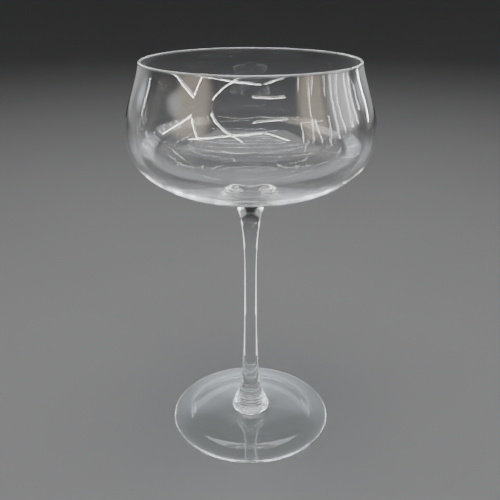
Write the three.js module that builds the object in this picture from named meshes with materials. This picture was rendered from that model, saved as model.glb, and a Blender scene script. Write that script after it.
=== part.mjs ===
// A coupe-shaped martini glass in clear crystal: a blown bowl, a drawn stem, a base knop and a
// spun foot, fused one on top of the other. Every piece is a solid of revolution about +Z.
// Millimetres. The origin is the centre of the flat ring that the foot rests on.

import * as THREE from "three";

// Driving dimensions

const GLASS_HEIGHT = 170;
const RIM_RADIUS = 44.25;
const BELLY_RADIUS = 51.25;
const BELLY_HEIGHT = 141.2;
const WALL = 1.2;
const FLOOR_THICKNESS = 3.1;

const BOWL_JOINT_HEIGHT = 114.1;
const BOWL_JOINT_RADIUS = 10;
const BOWL_JOINT_SLOPE = (25 * Math.PI) / 180;

const WAIST_HEIGHT = 78;
const WAIST_RADIUS = 2.9;

const STEM_JOINT_HEIGHT = 15.1;
const STEM_JOINT_RADIUS = 4.9;

const KNOP_RADIUS = 8.85;
const KNOP_WIDEST_HEIGHT = 4.9;

const FOOT_JOINT_HEIGHT = 3.4;
const FOOT_JOINT_RADIUS = 7;
const FOOT_RADIUS = 37.7;
const FOOT_EDGE_THICKNESS = 1.5;
const REST_RING_OUTER = 36.5;
const REST_RING_INNER = 29.4;
const FOOT_HOLLOW_DEPTH = 1.5;

// The pull of each curve's handles, measured from the dimension named beside them below

const FLARE_INTO_BOWL = 3.6;
const BOWL_FULLNESS = 3;
const SHOULDER_RISE = 11.5;
const NECK_DROP = 10.5;
const NECK_FLARE = 1.7;
const FLOOR_FULLNESS = 2.8;
const FLOOR_REACH = 20;

const STEM_BASE_TUCK = 1.35;
const STEM_BASE_RISE = 9;
const WAIST_REACH_DOWN = 28;
const WAIST_REACH_UP = 16;
const FLARE_INTO_STEM = -6.3;

const KNOP_FULLNESS = 3.6;
const KNOP_NECK_FLARE = 2;
const KNOP_NECK_DROP = 5.1;

const HOLLOW_REACH = 22;
const FOOT_EDGE_REACH = 26.4;
const FOOT_EDGE_RISE = 0.5;
const FOOT_RISE_REACH = 15.8;
const FOOT_RISE_DROP = 0.8;

// How finely each outline is divided along its curves, and each piece around the axis

const CURVE_STEPS = 10;
const EDGE_STEPS = 6;
const WIDE_PIECE_SIDES = 64;
const SLIM_PIECE_SIDES = 32;

// The look of the crystal, a little cooler where it is thicker

const BOWL_TINT = 0xf2f5f5;
const STEM_TINT = 0xe6ecec;
const KNOP_TINT = 0xe2e8e8;
const FOOT_TINT = 0xeef2f2;
const CRYSTAL_ROUGHNESS = 0.02;
const CRYSTAL_OPACITY = 0.35;

// A point on the line of the flare where it crosses the joint between stem and bowl, which lets
// both pieces share one slope there. A positive run lies on the bowl's side.
function alongFlare(run) {
  return new THREE.Vector2(
    BOWL_JOINT_RADIUS + run * Math.cos(BOWL_JOINT_SLOPE),
    BOWL_JOINT_HEIGHT + run * Math.sin(BOWL_JOINT_SLOPE),
  );
}

// The bowl: out from the joint, round the belly, over the rounded rim and down the inside to the
// floor, which thickens towards the axis.
function bowlOutline() {
  const lipRadius = WALL / 2;
  const lipHeight = GLASS_HEIGHT - lipRadius;
  const floorHeight = BOWL_JOINT_HEIGHT + FLOOR_THICKNESS;
  const innerBelly = BELLY_RADIUS - WALL;
  const innerRim = RIM_RADIUS - WALL;
  const shoulderHeight = BELLY_HEIGHT + SHOULDER_RISE;
  const neckHeight = GLASS_HEIGHT - NECK_DROP;
  const flare = alongFlare(FLARE_INTO_BOWL);

  const outline = new THREE.Path();
  outline.moveTo(0, BOWL_JOINT_HEIGHT);
  outline.lineTo(BOWL_JOINT_RADIUS, BOWL_JOINT_HEIGHT);
  outline.bezierCurveTo(
    flare.x, flare.y,
    BELLY_RADIUS, BOWL_JOINT_HEIGHT + BOWL_FULLNESS,
    BELLY_RADIUS, BELLY_HEIGHT,
  );
  outline.bezierCurveTo(
    BELLY_RADIUS, shoulderHeight,
    RIM_RADIUS + NECK_FLARE, neckHeight,
    RIM_RADIUS, lipHeight,
  );
  outline.absarc(RIM_RADIUS - lipRadius, lipHeight, lipRadius, 0, Math.PI, false);
  outline.bezierCurveTo(
    innerRim + NECK_FLARE, neckHeight,
    innerBelly, shoulderHeight,
    innerBelly, BELLY_HEIGHT,
  );
  outline.bezierCurveTo(
    innerBelly, floorHeight + FLOOR_FULLNESS,
    FLOOR_REACH, floorHeight,
    0, floorHeight,
  );
  return outline;
}

// The stem: a solid rod, slim at its waist, opening like a trumpet into the bowl and swelling a
// little into the knop.
function stemOutline() {
  const flare = alongFlare(FLARE_INTO_STEM);

  const outline = new THREE.Path();
  outline.moveTo(0, STEM_JOINT_HEIGHT);
  outline.lineTo(STEM_JOINT_RADIUS, STEM_JOINT_HEIGHT);
  outline.bezierCurveTo(
    STEM_JOINT_RADIUS - STEM_BASE_TUCK, STEM_JOINT_HEIGHT + STEM_BASE_RISE,
    WAIST_RADIUS, WAIST_HEIGHT - WAIST_REACH_DOWN,
    WAIST_RADIUS, WAIST_HEIGHT,
  );
  outline.bezierCurveTo(
    WAIST_RADIUS, WAIST_HEIGHT + WAIST_REACH_UP,
    flare.x, flare.y,
    BOWL_JOINT_RADIUS, BOWL_JOINT_HEIGHT,
  );
  outline.lineTo(0, BOWL_JOINT_HEIGHT);
  return outline;
}

// The base knop: bell shaped, with a rolled lower edge that tucks in to the foot.
function knopOutline() {
  const outline = new THREE.Path();
  outline.moveTo(0, FOOT_JOINT_HEIGHT);
  outline.lineTo(FOOT_JOINT_RADIUS, FOOT_JOINT_HEIGHT);
  outline.absellipse(
    FOOT_JOINT_RADIUS, KNOP_WIDEST_HEIGHT,
    KNOP_RADIUS - FOOT_JOINT_RADIUS, KNOP_WIDEST_HEIGHT - FOOT_JOINT_HEIGHT,
    -Math.PI / 2, 0, false,
  );
  outline.bezierCurveTo(
    KNOP_RADIUS, KNOP_WIDEST_HEIGHT + KNOP_FULLNESS,
    STEM_JOINT_RADIUS + KNOP_NECK_FLARE, STEM_JOINT_HEIGHT - KNOP_NECK_DROP,
    STEM_JOINT_RADIUS, STEM_JOINT_HEIGHT,
  );
  outline.lineTo(0, STEM_JOINT_HEIGHT);
  return outline;
}

// The foot: a thin disc with a rounded edge, a flat ring to rest on, a shallow hollow inside that
// ring, and a top that rises gently to the knop.
function footOutline() {
  const edgeMiddle = FOOT_EDGE_THICKNESS / 2;

  const outline = new THREE.Path();
  outline.moveTo(0, FOOT_HOLLOW_DEPTH);
  outline.quadraticCurveTo(
    HOLLOW_REACH, FOOT_HOLLOW_DEPTH,
    REST_RING_INNER, 0,
  );
  outline.lineTo(REST_RING_OUTER, 0);
  outline.absellipse(
    REST_RING_OUTER, edgeMiddle,
    FOOT_RADIUS - REST_RING_OUTER, edgeMiddle,
    -Math.PI / 2, Math.PI / 2, false,
  );
  outline.bezierCurveTo(
    FOOT_EDGE_REACH, FOOT_EDGE_THICKNESS + FOOT_EDGE_RISE,
    FOOT_RISE_REACH, FOOT_JOINT_HEIGHT - FOOT_RISE_DROP,
    FOOT_JOINT_RADIUS, FOOT_JOINT_HEIGHT,
  );
  outline.lineTo(0, FOOT_JOINT_HEIGHT);
  return outline;
}

// Clear lead-free crystal.
function crystal(tint) {
  return new THREE.MeshStandardMaterial({
    color: tint,
    roughness: CRYSTAL_ROUGHNESS,
    metalness: 0,
    transparent: true,
    opacity: CRYSTAL_OPACITY,
    side: THREE.DoubleSide,
  });
}

// The points of an outline: a straight needs only its ends, and a small rounded edge few steps.
function outlinePoints(outline) {
  const points = [];
  for (const curve of outline.curves) {
    const steps = curve.isEllipseCurve ? EDGE_STEPS : CURVE_STEPS;
    const run = curve.getPoints(curve.isLineCurve ? 1 : steps);
    points.push(...run.slice(points.length ? 1 : 0));
  }
  return points;
}

// Turns an outline of (radius, height) points about +Z.
function turned(name, outline, sides, material) {
  const geometry = new THREE.LatheGeometry(outlinePoints(outline), sides);
  geometry.rotateX(Math.PI / 2);
  const mesh = new THREE.Mesh(geometry, material);
  mesh.name = name;
  return mesh;
}

const glass = new THREE.Group();
glass.add(
  turned("bowl", bowlOutline(), WIDE_PIECE_SIDES, crystal(BOWL_TINT)),
  turned("stem", stemOutline(), SLIM_PIECE_SIDES, crystal(STEM_TINT)),
  turned("base_knop", knopOutline(), SLIM_PIECE_SIDES, crystal(KNOP_TINT)),
  turned("foot", footOutline(), WIDE_PIECE_SIDES, crystal(FOOT_TINT)),
);

export default glass;
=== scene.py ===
"""Looks of the coupe-shaped martini glass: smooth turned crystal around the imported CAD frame.

Metres, +Z up, in the frame's own axes. Four pieces stand for the four CAD nodes. They are fused
glass, so the flat faces where they meet are clear and no seam shows inside the crystal.
"""

import math

import bmesh
import bpy
from mathutils import Euler, Matrix, Vector


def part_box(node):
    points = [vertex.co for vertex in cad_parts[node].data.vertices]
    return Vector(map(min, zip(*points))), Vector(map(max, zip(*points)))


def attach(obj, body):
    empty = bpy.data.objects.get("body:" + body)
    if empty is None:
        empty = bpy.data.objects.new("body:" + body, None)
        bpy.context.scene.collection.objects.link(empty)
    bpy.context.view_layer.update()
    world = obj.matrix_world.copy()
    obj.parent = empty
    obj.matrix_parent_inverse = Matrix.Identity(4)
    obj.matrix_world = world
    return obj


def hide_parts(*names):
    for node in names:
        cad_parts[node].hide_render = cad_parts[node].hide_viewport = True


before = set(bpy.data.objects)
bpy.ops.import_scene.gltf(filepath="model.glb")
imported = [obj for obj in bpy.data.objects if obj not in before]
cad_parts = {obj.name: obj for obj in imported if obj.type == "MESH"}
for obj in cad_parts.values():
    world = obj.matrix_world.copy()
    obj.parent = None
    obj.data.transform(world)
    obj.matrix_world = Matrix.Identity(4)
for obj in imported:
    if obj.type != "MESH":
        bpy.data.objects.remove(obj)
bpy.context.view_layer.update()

# ---------------------------------------------------------------- driving sizes, from the frame

BOWL_LOW, BOWL_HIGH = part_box("bowl")
STEM_LOW, STEM_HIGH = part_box("stem")
KNOP_LOW, KNOP_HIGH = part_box("base_knop")
FOOT_LOW, FOOT_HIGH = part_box("foot")

MM = 0.001

GLASS_HEIGHT = BOWL_HIGH.z
RIM_RADIUS = 44.25 * MM
BELLY_RADIUS = BOWL_HIGH.x
BELLY_HEIGHT = 141.2 * MM
WALL = 1.2 * MM
FLOOR_THICKNESS = 3.1 * MM
BOWL_JOINT_HEIGHT = BOWL_LOW.z
BOWL_JOINT_RADIUS = STEM_HIGH.x
BOWL_JOINT_SLOPE = math.radians(25)

WAIST_HEIGHT = 78 * MM
WAIST_RADIUS = 2.9 * MM
STEM_JOINT_HEIGHT = STEM_LOW.z
STEM_JOINT_RADIUS = 4.9 * MM

KNOP_RADIUS = KNOP_HIGH.x
KNOP_WIDEST_HEIGHT = 4.9 * MM

FOOT_JOINT_HEIGHT = KNOP_LOW.z
FOOT_JOINT_RADIUS = 7 * MM
FOOT_RADIUS = FOOT_HIGH.x
FOOT_EDGE_THICKNESS = 1.5 * MM
REST_RING_OUTER = 36.5 * MM
REST_RING_INNER = 29.4 * MM
FOOT_HOLLOW_DEPTH = 1.5 * MM

# The pull of each curve's handles, measured from the size named beside them in the outlines

FLARE_INTO_BOWL = 3.6 * MM
BOWL_FULLNESS = 3 * MM
SHOULDER_RISE = 11.5 * MM
NECK_DROP = 10.5 * MM
NECK_FLARE = 1.7 * MM
FLOOR_FULLNESS = 2.8 * MM
FLOOR_REACH = 2 * BOWL_JOINT_RADIUS

STEM_BASE_TUCK = 1.35 * MM
STEM_BASE_RISE = 9 * MM
WAIST_REACH_DOWN = 28 * MM
WAIST_REACH_UP = 16 * MM
FLARE_INTO_STEM = -6.3 * MM

KNOP_FULLNESS = 3.6 * MM
KNOP_NECK_FLARE = 2 * MM
KNOP_NECK_DROP = 5.1 * MM

HOLLOW_REACH = 22 * MM
FOOT_EDGE_REACH = 26.4 * MM
FOOT_EDGE_RISE = 0.5 * MM
FOOT_RISE_REACH = 15.8 * MM
FOOT_RISE_DROP = 0.8 * MM

# ---------------------------------------------------------------- hand work, never out of the CAD's box

# Rings turned into the knop, and how far they stay from its lower and upper joint
RING_PITCH = 1.15 * MM
RING_DEPTH = 0.3 * MM
CLEAR_OF_FOOT = 0.6 * MM
CLEAR_OF_STEM = 1 * MM

# Faint turning marks on the floor of the bowl, between two radii
MARK_PITCH = 2.8 * MM
MARK_DEPTH = 0.03 * MM
MARKS_START = 2 * MM
MARKS_END = 40 * MM

# Unevenness of the blown wall: depth, lobes round the axis, then turns of phase in radians per metre
# of height and per metre of radius
BLOWN_WAVES = (
    (0.07 * MM, 5, 70, 160),
    (0.025 * MM, 11, -420, 90),
)

# ---------------------------------------------------------------- fineness

WIDE_SIDES = 192
SLIM_SIDES = 96
EDGE_STEPS = 12
WALL_STEPS = 36
CURVE_STEPS = 60
DETAILED_STEPS = 140
JOINT_TOLERANCE = 0.001 * MM


# ---------------------------------------------------------------- outlines of (radius, height)

def bezier(start, handle_a, handle_b, end, steps):
    """Points of a cubic curve after its start, up to and including its end."""
    points = []
    for step in range(1, steps + 1):
        t = step / steps
        weights = ((1 - t) ** 3, 3 * (1 - t) ** 2 * t, 3 * (1 - t) * t * t, t ** 3)
        corners = (start, handle_a, handle_b, end)
        points.append(tuple(sum(w * c[axis] for w, c in zip(weights, corners)) for axis in (0, 1)))
    return points


def quadratic(start, handle, end, steps):
    """Points of a one-handled curve after its start, up to and including its end."""
    share = 2 / 3
    handle_a = tuple(a + (h - a) * share for a, h in zip(start, handle))
    handle_b = tuple(b + (h - b) * share for b, h in zip(end, handle))
    return bezier(start, handle_a, handle_b, end, steps)


def ellipse_arc(centre, radii, start_angle, end_angle, steps):
    """Points of an arc after its start, up to and including its end, angles in radians."""
    points = []
    for step in range(1, steps + 1):
        angle = start_angle + (end_angle - start_angle) * step / steps
        points.append((centre[0] + radii[0] * math.cos(angle), centre[1] + radii[1] * math.sin(angle)))
    return points


def along_flare(run):
    """A point on the flare's line through the joint of stem and bowl; positive runs are the bowl's."""
    return (
        BOWL_JOINT_RADIUS + run * math.cos(BOWL_JOINT_SLOPE),
        BOWL_JOINT_HEIGHT + run * math.sin(BOWL_JOINT_SLOPE),
    )


def wave_row(place, start, end, pitch, depth):
    """How deep a row of soft waves is there. The row fades out towards its start and its end."""
    run = (place - start) / (end - start)
    if not 0 < run < 1:
        return 0
    wave = (1 - math.cos(2 * math.pi * (place - start) / pitch)) / 2
    return depth * wave * math.sin(math.pi * run)


def ringed(outline):
    """The knop's outline with rings turned into its side."""
    start, end = FOOT_JOINT_HEIGHT + CLEAR_OF_FOOT, STEM_JOINT_HEIGHT - CLEAR_OF_STEM
    return [
        (radius - wave_row(height, start, end, RING_PITCH, RING_DEPTH), height)
        for radius, height in outline
    ]


def marked(outline):
    """The bowl's inner outline with turning marks raised a little on its floor."""
    return [
        (radius, height + wave_row(radius, MARKS_START, MARKS_END, MARK_PITCH, MARK_DEPTH))
        for radius, height in outline
    ]


def bowl_outline():
    """Out from the joint, round the belly, over the rounded rim and down the inside to the floor."""
    lip = WALL / 2
    lip_height = GLASS_HEIGHT - lip
    floor = BOWL_JOINT_HEIGHT + FLOOR_THICKNESS
    inner_belly = BELLY_RADIUS - WALL
    inner_rim = RIM_RADIUS - WALL
    shoulder = BELLY_HEIGHT + SHOULDER_RISE
    neck = GLASS_HEIGHT - NECK_DROP
    points = [(0, BOWL_JOINT_HEIGHT), (BOWL_JOINT_RADIUS, BOWL_JOINT_HEIGHT)]
    points += bezier(
        (BOWL_JOINT_RADIUS, BOWL_JOINT_HEIGHT),
        along_flare(FLARE_INTO_BOWL),
        (BELLY_RADIUS, BOWL_JOINT_HEIGHT + BOWL_FULLNESS),
        (BELLY_RADIUS, BELLY_HEIGHT),
        DETAILED_STEPS,
    )
    points += bezier(
        (BELLY_RADIUS, BELLY_HEIGHT),
        (BELLY_RADIUS, shoulder),
        (RIM_RADIUS + NECK_FLARE, neck),
        (RIM_RADIUS, lip_height),
        WALL_STEPS,
    )
    points += ellipse_arc((RIM_RADIUS - lip, lip_height), (lip, lip), 0, math.pi, EDGE_STEPS)
    points += bezier(
        (inner_rim, lip_height),
        (inner_rim + NECK_FLARE, neck),
        (inner_belly, shoulder),
        (inner_belly, BELLY_HEIGHT),
        WALL_STEPS,
    )
    points += marked(bezier(
        (inner_belly, BELLY_HEIGHT),
        (inner_belly, floor + FLOOR_FULLNESS),
        (FLOOR_REACH, floor),
        (0, floor),
        DETAILED_STEPS,
    ))
    return points


def stem_outline():
    """A rod, slim at its waist, that opens like a trumpet into the bowl."""
    foot_end = (STEM_JOINT_RADIUS, STEM_JOINT_HEIGHT)
    waist = (WAIST_RADIUS, WAIST_HEIGHT)
    bowl_end = (BOWL_JOINT_RADIUS, BOWL_JOINT_HEIGHT)
    points = [(0, STEM_JOINT_HEIGHT), foot_end]
    points += bezier(
        foot_end,
        (STEM_JOINT_RADIUS - STEM_BASE_TUCK, STEM_JOINT_HEIGHT + STEM_BASE_RISE),
        (WAIST_RADIUS, WAIST_HEIGHT - WAIST_REACH_DOWN),
        waist,
        CURVE_STEPS,
    )
    points += bezier(
        waist,
        (WAIST_RADIUS, WAIST_HEIGHT + WAIST_REACH_UP),
        along_flare(FLARE_INTO_STEM),
        bowl_end,
        CURVE_STEPS,
    )
    points.append((0, BOWL_JOINT_HEIGHT))
    return points


def knop_outline():
    """A bell with a rolled lower edge and rings in its side."""
    points = [(0, FOOT_JOINT_HEIGHT), (FOOT_JOINT_RADIUS, FOOT_JOINT_HEIGHT)]
    points += ellipse_arc(
        (FOOT_JOINT_RADIUS, KNOP_WIDEST_HEIGHT),
        (KNOP_RADIUS - FOOT_JOINT_RADIUS, KNOP_WIDEST_HEIGHT - FOOT_JOINT_HEIGHT),
        -math.pi / 2,
        0,
        EDGE_STEPS,
    )
    points += bezier(
        (KNOP_RADIUS, KNOP_WIDEST_HEIGHT),
        (KNOP_RADIUS, KNOP_WIDEST_HEIGHT + KNOP_FULLNESS),
        (STEM_JOINT_RADIUS + KNOP_NECK_FLARE, STEM_JOINT_HEIGHT - KNOP_NECK_DROP),
        (STEM_JOINT_RADIUS, STEM_JOINT_HEIGHT),
        DETAILED_STEPS,
    )
    points = ringed(points)
    points.append((0, STEM_JOINT_HEIGHT))
    return points


def foot_outline():
    """A thin disc: hollow underneath, a flat ring to rest on, a rounded edge and a rising top."""
    edge_middle = FOOT_EDGE_THICKNESS / 2
    points = [(0, FOOT_HOLLOW_DEPTH)]
    points += quadratic(
        (0, FOOT_HOLLOW_DEPTH),
        (HOLLOW_REACH, FOOT_HOLLOW_DEPTH),
        (REST_RING_INNER, 0),
        CURVE_STEPS,
    )
    points.append((REST_RING_OUTER, 0))
    points += ellipse_arc(
        (REST_RING_OUTER, edge_middle),
        (FOOT_RADIUS - REST_RING_OUTER, edge_middle),
        -math.pi / 2,
        math.pi / 2,
        2 * EDGE_STEPS,
    )
    points += bezier(
        (REST_RING_OUTER, FOOT_EDGE_THICKNESS),
        (FOOT_EDGE_REACH, FOOT_EDGE_THICKNESS + FOOT_EDGE_RISE),
        (FOOT_RISE_REACH, FOOT_JOINT_HEIGHT - FOOT_RISE_DROP),
        (FOOT_JOINT_RADIUS, FOOT_JOINT_HEIGHT),
        CURVE_STEPS,
    )
    points.append((0, FOOT_JOINT_HEIGHT))
    return points


# ---------------------------------------------------------------- turning an outline into a mesh

def hand_blown(height, angle, radius):
    """How far the bowl's wall lies inside its true circle there: nothing at the joint and the rim."""
    run = (height - BOWL_JOINT_HEIGHT) / (GLASS_HEIGHT - BOWL_JOINT_HEIGHT)
    share = max(0, math.sin(math.pi * run)) * min(1, radius / BOWL_JOINT_RADIUS)
    return share * sum(
        depth * (1 + math.sin(lobes * angle + climb * height + spread * radius)) / 2
        for depth, lobes, climb, spread in BLOWN_WAVES
    )


def true_circle(height, angle, radius):
    """No inset, for a piece that is truly round."""
    return 0


def turned_mesh(name, outline, sides, joints, inset=true_circle):
    """Turns the outline about +Z. A flat face at one of the joint heights gets material slot 1."""
    mesh = bmesh.new()
    stations = []
    for radius, height in outline:
        if radius < JOINT_TOLERANCE:
            stations.append(([mesh.verts.new((0, 0, height))], height))
            continue
        ring = []
        for side in range(sides):
            angle = 2 * math.pi * side / sides
            reach = radius - inset(height, angle, radius)
            ring.append(mesh.verts.new((reach * math.cos(angle), reach * math.sin(angle), height)))
        stations.append((ring, height))
    for (ring, height), (next_ring, next_height) in zip(stations, stations[1:]):
        flat = abs(height - next_height) < JOINT_TOLERANCE
        is_joint = flat and any(abs(height - joint) < JOINT_TOLERANCE for joint in joints)
        for side in range(sides):
            after = (side + 1) % sides
            corners = [ring[side % len(ring)], ring[after % len(ring)]]
            corners += [next_ring[after % len(next_ring)], next_ring[side % len(next_ring)]]
            face = mesh.faces.new(list(dict.fromkeys(corners)))
            face.smooth = True
            face.material_index = int(is_joint)
    bmesh.ops.recalc_face_normals(mesh, faces=mesh.faces)
    for edge in mesh.edges:
        if len({face.material_index for face in edge.link_faces}) > 1:
            edge.smooth = False
    data = bpy.data.meshes.new(name)
    mesh.to_mesh(data)
    mesh.free()
    piece = bpy.data.objects.new(name, data)
    bpy.context.scene.collection.objects.link(piece)
    return piece


# ---------------------------------------------------------------- shader nodes

def fill(tree, socket, value):
    """Gives an input its value: a plain one, or a link from another node's output."""
    if isinstance(value, bpy.types.NodeSocket):
        tree.links.new(value, socket)
    else:
        socket.default_value = value


def add_node(tree, kind, *values, **named_values):
    """Adds a shader node and fills its inputs in order, or by name with an underscore for a space."""
    node = tree.nodes.new("ShaderNode" + kind)
    for socket, value in zip(node.inputs, values):
        fill(tree, socket, value)
    for name, value in named_values.items():
        fill(tree, node.inputs[name.replace("_", " ")], value)
    return node


def new_material(name):
    """An empty material and its node tree."""
    material = bpy.data.materials.new(name)
    material.use_nodes = True
    material.node_tree.nodes.clear()
    return material, material.node_tree


def own_coordinates(tree):
    return add_node(tree, "TexCoord").outputs["Object"]


def noise(tree, place, scale, detail=2):
    return add_node(tree, "TexNoise", Vector=place, Scale=scale, Detail=detail).outputs["Fac"]


def blend(tree, share, start, end):
    """A colour that goes from one to the other as the share goes from 0 to 1."""
    node = tree.nodes.new("ShaderNodeMix")
    node.data_type = "RGBA"
    fill(tree, node.inputs["Factor"], share)
    fill(tree, node.inputs["A"], (*start, 1))
    fill(tree, node.inputs["B"], (*end, 1))
    return node.outputs["Result"]


def rescale(tree, value, start, end, low, high, interpolation="LINEAR"):
    """Maps start to low and end to high, and holds the value at both ends."""
    node = add_node(tree, "MapRange", Value=value, From_Min=start, From_Max=end, To_Min=low, To_Max=high)
    node.interpolation_type = interpolation
    return node.outputs["Result"]


def calculate(tree, operation, *values):
    node = add_node(tree, "Math", *values)
    node.operation = operation
    return node.outputs["Value"]


def bump(tree, height, depth):
    return add_node(tree, "Bump", Height=height, Distance=depth).outputs["Normal"]


# ---------------------------------------------------------------- materials of the glass

WHITE = (1, 1, 1)
WARM = (1, 0.86, 0.68)
COOL = (0.88, 0.94, 1)
NEARLY_BLACK = (0.02, 0.021, 0.022)

CRYSTAL_IOR = 1.53
TINT_SCALE = 18

# Smudges: their scale and detail, and the noise values between which they set in
SMUDGE_SCALE = 45
SMUDGE_DETAIL = 6
SMUDGE_RANGE = (0.55, 0.8)

# Bands of extra roughness: the height where one sets in, the height where it is full, and how much
RIM_SATIN = (GLASS_HEIGHT - 1.3 * MM, GLASS_HEIGHT - 0.3 * MM, 0.6)
RING_WEAR = (0.12 * MM, 0, 0.08)

# What a shadow ray keeps of its light, face on and near the outline, and how wide that outline is
SHADE_FACE_ON = (0.96, 0.97, 0.97)
SHADE_AT_OUTLINE = (0.45, 0.47, 0.48)
OUTLINE_WIDTH = 0.35


def satin_band(tree, place, band, uneven):
    """Extra roughness that sets in between two heights, broken up by a noise."""
    start, end, amount = band
    height = add_node(tree, "SeparateXYZ", place).outputs["Z"]
    return calculate(tree, "MULTIPLY", rescale(tree, height, start, end, 0, amount), uneven)


def crystal(name, tint, smudge_roughness, waviness_scale, waviness_depth, band=None):
    """Clear crystal: near-white, sharp, with faint smudges and the soft waviness of hand work."""
    material, tree = new_material(name)
    place = own_coordinates(tree)
    smudges = noise(tree, place, SMUDGE_SCALE, SMUDGE_DETAIL)
    roughness = rescale(tree, smudges, *SMUDGE_RANGE, 0, smudge_roughness)
    if band:
        roughness = calculate(tree, "ADD", roughness, satin_band(tree, place, band, smudges))
    glass = add_node(
        tree, "BsdfPrincipled",
        Base_Color=blend(tree, noise(tree, place, TINT_SCALE), tint, WHITE),
        Roughness=roughness,
        IOR=CRYSTAL_IOR,
        Transmission_Weight=1,
        Normal=bump(tree, noise(tree, place, waviness_scale, 1), waviness_depth),
    )
    outline = add_node(tree, "LayerWeight", Blend=OUTLINE_WIDTH).outputs["Facing"]
    clear = add_node(tree, "BsdfTransparent", Color=blend(tree, outline, SHADE_FACE_ON, SHADE_AT_OUTLINE))
    in_shadow = add_node(tree, "LightPath").outputs["Is Shadow Ray"]
    surface = add_node(tree, "MixShader", in_shadow, glass.outputs["BSDF"], clear.outputs["BSDF"])
    add_node(tree, "OutputMaterial", Surface=surface.outputs["Shader"])
    return material


def fused_joint():
    """The inside of a fused joint, where light passes straight from one piece to the next."""
    material, tree = new_material("fused_joint")
    add_node(tree, "OutputMaterial", Surface=add_node(tree, "BsdfTransparent").outputs["BSDF"])
    return material


# ---------------------------------------------------------------- the four pieces

def add_piece(name, node, outline, sides, joints, material, joint_material, inset=true_circle):
    piece = turned_mesh(name, outline, sides, joints, inset)
    piece.data.materials.append(material)
    piece.data.materials.append(joint_material)
    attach(piece, "root")
    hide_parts(node)


def build_glass():
    joint = fused_joint()
    add_piece(
        "crystal_bowl", "bowl",
        bowl_outline(), WIDE_SIDES, [BOWL_JOINT_HEIGHT],
        crystal(
            "bowl_crystal", tint=(0.975, 0.985, 0.985), smudge_roughness=0.03,
            waviness_scale=70, waviness_depth=0.06 * MM, band=RIM_SATIN,
        ),
        joint, hand_blown,
    )
    add_piece(
        "crystal_stem", "stem",
        stem_outline(), SLIM_SIDES, [STEM_JOINT_HEIGHT, BOWL_JOINT_HEIGHT],
        crystal(
            "stem_crystal", tint=(0.965, 0.98, 0.98), smudge_roughness=0.03,
            waviness_scale=120, waviness_depth=0.03 * MM,
        ),
        joint,
    )
    add_piece(
        "crystal_knop", "base_knop",
        knop_outline(), SLIM_SIDES, [FOOT_JOINT_HEIGHT, STEM_JOINT_HEIGHT],
        crystal(
            "knop_crystal", tint=(0.965, 0.98, 0.98), smudge_roughness=0.05,
            waviness_scale=200, waviness_depth=0.04 * MM,
        ),
        joint,
    )
    add_piece(
        "crystal_foot", "foot",
        foot_outline(), WIDE_SIDES, [FOOT_JOINT_HEIGHT],
        crystal(
            "foot_crystal", tint=(0.97, 0.985, 0.985), smudge_roughness=0.05,
            waviness_scale=60, waviness_depth=0.05 * MM, band=RING_WEAR,
        ),
        joint,
    )


# ---------------------------------------------------------------- floor and wall

# A flat floor, an upward sweep and a wall. The floor lies a hair below the ring that the glass rests
# on, so that the two never share a surface.
COVE_MIDDLE = 0.3
COVE_FLAT = 1.5
COVE_SWEEP = 0.9
COVE_HEIGHT = 2.6
COVE_GAP = 0.02 * MM
COVE_STEPS = 24
COVE_SIDES = 96

CLOUD_SCALE = 9
CLOUD_DETAIL = 4
CLOUD_COLOURS = ((0.61, 0.61, 0.62), (0.65, 0.65, 0.655))
CLOUD_ROUGHNESS = (0.38, 0.46)
PEEL_SCALE = 700
PEEL_DEPTH = 0.02 * MM


def pale_paint():
    """Pale eggshell paint with a barely visible cloudiness and a fine orange-peel surface."""
    material, tree = new_material("pale_floor")
    place = own_coordinates(tree)
    clouds = noise(tree, place, CLOUD_SCALE, CLOUD_DETAIL)
    paint = add_node(
        tree, "BsdfPrincipled",
        Base_Color=blend(tree, clouds, *CLOUD_COLOURS),
        Roughness=rescale(tree, clouds, 0, 1, *CLOUD_ROUGHNESS),
        Normal=bump(tree, noise(tree, place, PEEL_SCALE), PEEL_DEPTH),
    )
    add_node(tree, "OutputMaterial", Surface=paint.outputs["BSDF"])
    return material


def build_cove():
    """A pale round floor whose far edge sweeps up into a wall, the same from every side."""
    outline = [(0, 0), (COVE_MIDDLE, 0), (COVE_FLAT, 0)]
    outline += ellipse_arc((COVE_FLAT, COVE_SWEEP), (COVE_SWEEP, COVE_SWEEP), -math.pi / 2, 0, COVE_STEPS)
    outline.append((COVE_FLAT + COVE_SWEEP, COVE_HEIGHT))
    lowered = [(radius, height - COVE_GAP) for radius, height in outline]
    cove = turned_mesh("studio_cove", lowered, COVE_SIDES, [])
    cove.data.materials.append(pale_paint())


# ---------------------------------------------------------------- kinds of light

GLASS_MIDDLE = Vector((0, 0, GLASS_HEIGHT / 2))
SOFTBOX_DISTANCE = 1.3
BAR_DISTANCE = 1.5
CEILING = 1.1

FACE_DOWN = Matrix.Identity(3)
FACE_UP = Matrix.Rotation(math.pi, 3, "X")

# Where a softbox starts to dim, from its middle at 0 to its edge at 0.5
SOFTBOX_FADE_START = 0.2

# The lit cards on the floor: where each one ends, from the axis outwards, how high they lie, and their
# width as a share of how far out they are
CARD_ENDS = (0.042, 0.09, 0.25, 0.6, 1.5)
CARD_HEIGHT = 1 * MM
CARD_WIDTH_SHARE = 0.35


def facing(azimuth, elevation, distance):
    """The point at that distance from the middle of the glass, in degrees, azimuth from +X to +Y."""
    turn, lift = math.radians(azimuth), math.radians(elevation)
    return GLASS_MIDDLE + distance * Vector((
        math.cos(lift) * math.cos(turn),
        math.cos(lift) * math.sin(turn),
        math.sin(lift),
    ))


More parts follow.
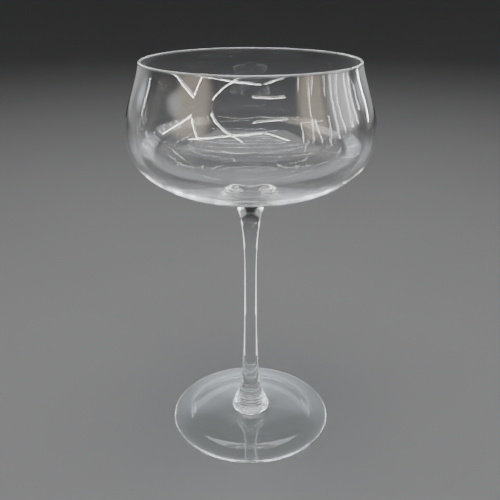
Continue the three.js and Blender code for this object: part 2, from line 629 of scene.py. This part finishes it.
def area_light(name, place, rotation, size, radiance, colour, group=None):
    """A flat light, given by the brightness of its face, that the camera itself doesn't see. With a
    group, it lights that group of pieces alone."""
    data = bpy.data.lights.new(name, "AREA")
    data.shape = "RECTANGLE"
    data.size, data.size_y = size
    data.energy = radiance * math.pi * size[0] * size[1]
    data.color = colour
    light = bpy.data.objects.new(name, data)
    light.location = place
    light.rotation_euler = rotation.to_euler()
    light.visible_camera = False
    light.light_linking.receiver_collection = group
    bpy.context.scene.collection.objects.link(light)
    return light


def soften_edges(light):
    """Dims a softbox towards its edges, as the cloth over a real one does."""
    light.data.use_nodes = True
    tree = light.data.node_tree
    split = add_node(tree, "SeparateXYZ", add_node(tree, "NewGeometry").outputs["Parametric"])
    shares = []
    for axis in ("X", "Y"):
        from_middle = calculate(tree, "ABSOLUTE", calculate(tree, "SUBTRACT", split.outputs[axis], 0.5))
        shares.append(rescale(tree, from_middle, SOFTBOX_FADE_START, 0.5, 1, 0, "SMOOTHSTEP"))
    fill(tree, tree.nodes["Emission"].inputs["Strength"], calculate(tree, "MULTIPLY", *shares))


def softbox(name, azimuth, elevation, spread, radiance, colour, group):
    """A softbox that faces the glass. Its spread is how wide and high it looks from there, in degrees."""
    size = [2 * SOFTBOX_DISTANCE * math.tan(math.radians(angle / 2)) for angle in spread]
    place = facing(azimuth, elevation, SOFTBOX_DISTANCE)
    rotation = (GLASS_MIDDLE - place).to_track_quat("-Z", "Y")
    soften_edges(area_light("softbox_" + name, place, rotation, size, radiance, colour, group))


def light_bar(name, start, end, thickness, radiance, group):
    """A thin bar of light between two directions, given as (azimuth, elevation)."""
    low, high = facing(*start, BAR_DISTANCE), facing(*end, BAR_DISTANCE)
    place = (low + high) / 2
    away = (place - GLASS_MIDDLE).normalized()
    across = (high - low).cross(away).normalized()
    along = away.cross(across)
    rotation = Matrix((across, along, away)).transposed()
    size = (thickness, (high - low).length)
    area_light("bar_" + name, place, rotation, size, radiance, WHITE, group)


def light_group(name, *pieces):
    """A group of pieces that a light can be kept to."""
    group = bpy.data.collections.new("lit_" + name)
    for piece in pieces:
        group.objects.link(bpy.data.objects[piece])
    return group


# ---------------------------------------------------------------- the lights

def light_floor():
    """One soft light overhead, the only one that the floor gets, so that bright crystal stands out."""
    area_light(
        "overhead", place=(0, 0.05, 1.0), rotation=FACE_DOWN, size=(1.1, 1.1), radiance=1.3, colour=WHITE,
    )


def light_glass():
    """A soft room for the whole glass to mirror, with the bright lines of lamps, slats and blinds."""
    glass = light_group("glass", "crystal_bowl", "crystal_stem", "crystal_knop", "crystal_foot")
    for name, azimuth, elevation, spread, radiance, colour in (
        ("right", 5, 17, (44, 30), 2.4, WHITE),
        ("right_rear", 47, 18, (44, 26), 2.6, COOL),
        ("right_veil", 54, 3, (54, 18), 0.3, WHITE),
        ("rear", 90, 28, (60, 20), 0.8, COOL),
        ("left_veil", 130, 3, (64, 18), 0.3, WHITE),
        ("left_rear", 133, 18, (44, 26), 2.6, COOL),
        ("left", 178, 28, (48, 20), 2.8, WHITE),
        ("left_front", -146, 20, (42, 30), 2, WARM),
        ("right_front", -30, 20, (34, 30), 2, WARM),
    ):
        softbox(name, azimuth, elevation, spread, radiance, colour, glass)
    for name, start, end, thickness, radiance in (
        ("left_slope", (-171, 7), (-146, 24), 0.02, 40),
        ("left_slope_back", (-136, 11), (-145, 23), 0.02, 40),
        ("left_long", (-97, 12), (-127, 27), 0.02, 34),
        ("front_low", (-144, 9), (-80, 20), 0.018, 40),
        ("front_short", (-77, 20), (-56, 12), 0.018, 40),
        ("front_high", (-88, 27), (-56, 26), 0.01, 30),
        ("right_edge", (38, 0), (42, 9), 0.03, 34),
    ):
        light_bar(name, start, end, thickness, radiance, glass)
    for side, middle in (("right", 47), ("left", 133)):
        for index in range(5):
            azimuth = middle - 18 + 9 * index + 3 * math.sin(2 * index)
            lean = 3 * math.cos(2.6 * index)
            low, high = 9 + 2 * math.sin(index), 27 + 3 * math.cos(index)
            light_bar(
                "slat_%s_%d" % (side, index + 1), (azimuth - lean, low), (azimuth + lean, high),
                thickness=0.012, radiance=30, group=glass,
            )
    for index in range(8):
        azimuth = -44 + 9 * index
        lean = 4 * math.sin(2.3 * index)
        low, high = 4 + 2 * math.cos(index), 23 + 3 * math.sin(1.7 * index)
        light_bar(
            "blind_%d" % (index + 1), (azimuth, low), (azimuth + lean, high),
            thickness=0.012, radiance=30, group=glass,
        )


def light_bowl():
    """Bright tubes, bars and glints high up, which the curve of the bowl draws out into long arcs."""
    bowl = light_group("bowl", "crystal_bowl")
    for index in range(6):
        across, forward = 0.28 * math.sin(2.6 * index + 1), -0.7 + 0.25 * index
        lean = Matrix.Rotation(0.3 * math.sin(2.1 * index), 3, "Z")
        length, width = 0.75 + 0.35 * math.cos(1.9 * index), 0.014 + 0.005 * math.sin(index)
        area_light(
            "skylight_%d" % (index + 1), place=(across, forward, CEILING), rotation=lean,
            size=(length, width), radiance=80, colour=COOL, group=bowl,
        )
    for name, azimuth in (("bowl_right", 36), ("bowl_left", 144)):
        softbox(name, azimuth, elevation=44, spread=(60, 30), radiance=0.5, colour=COOL, group=bowl)
    for name, start, end, thickness in (
        ("high_left", (155, 60), (100, 68), 0.014),
        ("high_right", (88, 69), (40, 62), 0.014),
        ("high_front", (-130, 72), (-50, 70), 0.02),
    ):
        light_bar(name, start, end, thickness, radiance=90, group=bowl)
    for index in range(14):
        azimuth, elevation = 8 + 12 * index, 46 + 13 * math.sin(2.4 * index)
        length, lift = 9 + 6 * math.cos(1.7 * index), 3 * math.sin(3.1 * index)
        start, end = (azimuth - length, elevation - lift), (azimuth + length, elevation + lift)
        light_bar("glint_%d" % (index + 1), start, end, thickness=0.009, radiance=34, group=bowl)


def light_stem():
    """Cards on the floor at both sides, which draw the bright edges of the stem, and lights above them
    for the knop."""
    stem = light_group("stem", "crystal_stem", "crystal_knop")
    for name, azimuth in (("right", 34), ("left", 146)):
        turn = Matrix.Rotation(math.radians(azimuth), 3, "Z")
        for index, (inner, outer) in enumerate(zip(CARD_ENDS, CARD_ENDS[1:])):
            reach = (inner + outer) / 2
            area_light(
                "card_%s_%d" % (name, index + 1),
                place=turn @ Vector((reach, 0, CARD_HEIGHT)), rotation=turn @ FACE_UP,
                size=(outer - inner, CARD_WIDTH_SHARE * reach), radiance=1, colour=WHITE, group=stem,
            )
    for name, azimuth in (("stem_right", 17), ("stem_left", 163)):
        softbox(name, azimuth, elevation=45, spread=(54, 22), radiance=2, colour=COOL, group=stem)
    for name, azimuth in (("right", 20), ("left", 160)):
        light_bar("knop_" + name, (azimuth, 12), (azimuth, 60), thickness=0.03, radiance=30, group=stem)


def light_foot():
    """A skylight for the top of the foot, and two long softboxes behind it for its bright edge."""
    foot = light_group("foot", "crystal_foot")
    area_light(
        "foot_skylight", place=(0, 0.05, CEILING), rotation=FACE_DOWN, size=(1.2, 1.2),
        radiance=3, colour=COOL, group=foot,
    )
    for name, azimuth, radiance in (("foot_right", 60, 1), ("foot_left", 120, 1.5)):
        softbox(name, azimuth, elevation=24, spread=(84, 15), radiance=radiance, colour=COOL, group=foot)


def darken_room():
    """A nearly black room beyond the cove."""
    world = bpy.data.worlds.new("studio_dark")
    world.use_nodes = True
    world.node_tree.nodes["Background"].inputs["Color"].default_value = (*NEARLY_BLACK, 1)
    bpy.context.scene.world = world


# ---------------------------------------------------------------- camera and light paths

CAMERA_PLACE = (-0.25 * MM, -0.26369, 0.20164)
CAMERA_PITCH = math.radians(23.36)
CAMERA_LENS_MM = 46.37
CAMERA_SENSOR_MM = 36
CAMERA_NEAREST = 0.01

DEEPEST_PATH = 128


def build_camera():
    data = bpy.data.cameras.new("camera")
    data.sensor_width = CAMERA_SENSOR_MM
    data.lens = CAMERA_LENS_MM
    data.clip_start = CAMERA_NEAREST
    camera = bpy.data.objects.new("camera", data)
    camera.location = CAMERA_PLACE
    camera.rotation_euler = Euler((math.pi / 2 - CAMERA_PITCH, 0, 0))
    bpy.context.scene.collection.objects.link(camera)
    bpy.context.scene.camera = camera


def set_light_paths_and_look():
    """Deep light paths, since every fused joint uses up two clear bounces, no caustics, and more
    contrast."""
    cycles = bpy.context.scene.cycles
    cycles.max_bounces = DEEPEST_PATH
    cycles.transmission_bounces = DEEPEST_PATH
    cycles.glossy_bounces = DEEPEST_PATH
    cycles.transparent_max_bounces = DEEPEST_PATH
    cycles.caustics_refractive = False
    cycles.caustics_reflective = False
    bpy.context.scene.view_settings.look = "AgX - Medium High Contrast"


build_glass()
build_cove()
light_floor()
light_glass()
light_bowl()
light_stem()
light_foot()
darken_room()
build_camera()
set_light_paths_and_look()
